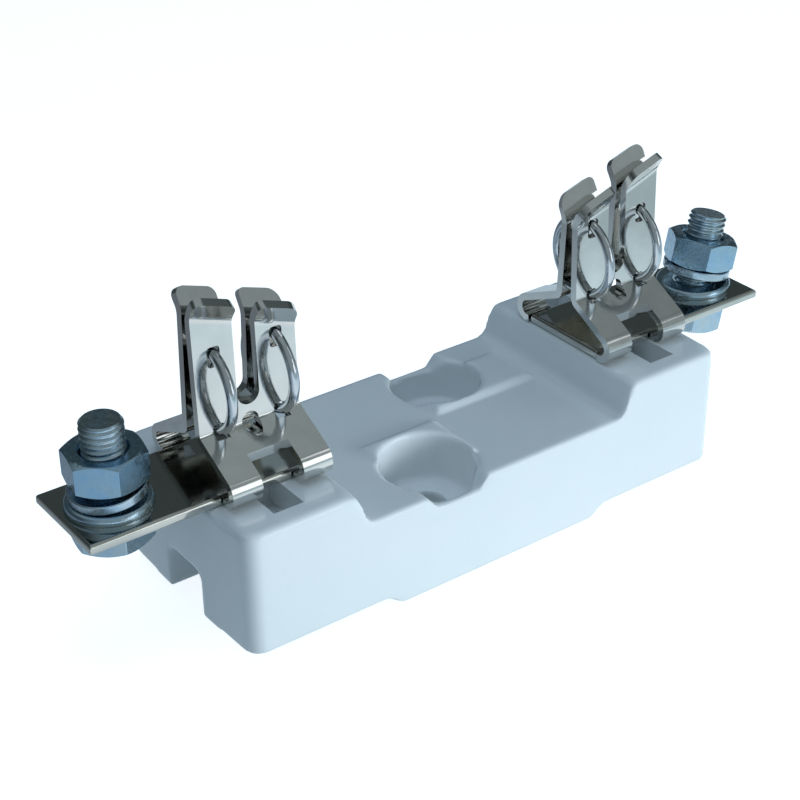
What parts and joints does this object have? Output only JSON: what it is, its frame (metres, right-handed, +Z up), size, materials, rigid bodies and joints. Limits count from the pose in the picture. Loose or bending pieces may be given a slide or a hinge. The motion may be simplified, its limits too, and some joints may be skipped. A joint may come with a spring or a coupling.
{
  "type": "fuse base",
  "caption": "Ceramic fuse base with raised end blocks, sprung knife contacts held by wire rings, plated terminal strips and threaded studs with nuts and washers.",
  "frame": {"origin": "middle of the underside, between the two mounting holes", "axes": "+X along the base towards the right terminal, +Y to the rear, +Z up"},
  "size_m": [0.201, 0.056, 0.0828],
  "materials": {
    "glaze": "white glaze, smooth and glossy",
    "strip": "nickel plated copper strip, bright",
    "jaw": "nickel plated spring sheet, bright",
    "spring_wire": "polished spring wire",
    "zinc_stud": "blue zinc plated thread and head",
    "zinc_nut": "blue zinc plated nut",
    "zinc_washer": "blue zinc plated washer",
    "zinc_spring": "blue zinc plated spring washer",
    "zinc_screw": "blue zinc plated screw"
  },
  "bodies": {
    "base": {"body": "glaze", "plate_left": "strip", "plate_right": "strip", "bolt_left": "zinc_stud", "bolt_right": "zinc_stud", "ring_outer_left": "spring_wire", "ring_inner_left": "spring_wire", "ring_outer_right": "spring_wire", "ring_inner_right": "spring_wire", "fixing_screw_left": "zinc_screw", "fixing_washer_left": "zinc_screw", "fixing_screw_right": "zinc_screw", "fixing_washer_right": "zinc_screw"},
    "jaw_front_left_body": {"jaw_front_left": "jaw"},
    "jaw_rear_left_body": {"jaw_rear_left": "jaw"},
    "washers_left": {"flat_washer_left": "zinc_washer", "spring_washer_left": "zinc_spring"},
    "nut_left_body": {"nut_left": "zinc_nut"},
    "jaw_front_right_body": {"jaw_front_right": "jaw"},
    "jaw_rear_right_body": {"jaw_rear_right": "jaw"},
    "washers_right": {"flat_washer_right": "zinc_washer", "spring_washer_right": "zinc_spring"},
    "nut_right_body": {"nut_right": "zinc_nut"}
  },
  "joints": [
    {"name": "jaw_front_left_spread", "type": "hinge", "parent": "base", "child": "jaw_front_left_body", "pos_m": [-0.0545, -0.014, 0.03862], "axis": [1, 0, 0], "range_deg": [0, 3.7], "stiffness_Nm_per_rad": 2, "springref_deg": -5.73},
    {"name": "jaw_rear_left_spread", "type": "hinge", "parent": "base", "child": "jaw_rear_left_body", "pos_m": [-0.0545, 0.014, 0.03862], "axis": [-1, 0, 0], "range_deg": [0, 3.7], "stiffness_Nm_per_rad": 2, "springref_deg": -5.73},
    {"name": "washers_left_rise", "type": "slide", "parent": "base", "child": "washers_left", "axis": [0, 0, 1], "range_m": [0, 0.006]},
    {"name": "nut_left_turn", "type": "hinge", "parent": "washers_left", "child": "nut_left_body", "pos_m": [-0.0885, 0, 0.0371], "axis": [0, 0, 1], "range_deg": [0, 1440]},
    {"name": "jaw_front_right_spread", "type": "hinge", "parent": "base", "child": "jaw_front_right_body", "pos_m": [0.0552, -0.014, 0.03862], "axis": [1, 0, 0], "range_deg": [0, 3.7], "stiffness_Nm_per_rad": 2, "springref_deg": -5.73},
    {"name": "jaw_rear_right_spread", "type": "hinge", "parent": "base", "child": "jaw_rear_right_body", "pos_m": [0.0552, 0.014, 0.03862], "axis": [-1, 0, 0], "range_deg": [0, 3.7], "stiffness_Nm_per_rad": 2, "springref_deg": -5.73},
    {"name": "washers_right_rise", "type": "slide", "parent": "base", "child": "washers_right", "axis": [0.2079, 0, 0.9781], "range_m": [0, 0.006]},
    {"name": "nut_right_turn", "type": "hinge", "parent": "washers_right", "child": "nut_right_body", "pos_m": [0.0885, 0, 0.0371], "axis": [0.2079, 0, 0.9781], "range_deg": [0, 1440]}
  ],
  "couplings": [
    {"joint": "washers_left_rise", "follows": "nut_left_turn", "m_per_rad": 0.0002387},
    {"joint": "washers_right_rise", "follows": "nut_right_turn", "m_per_rad": 0.0002387}
  ]
}
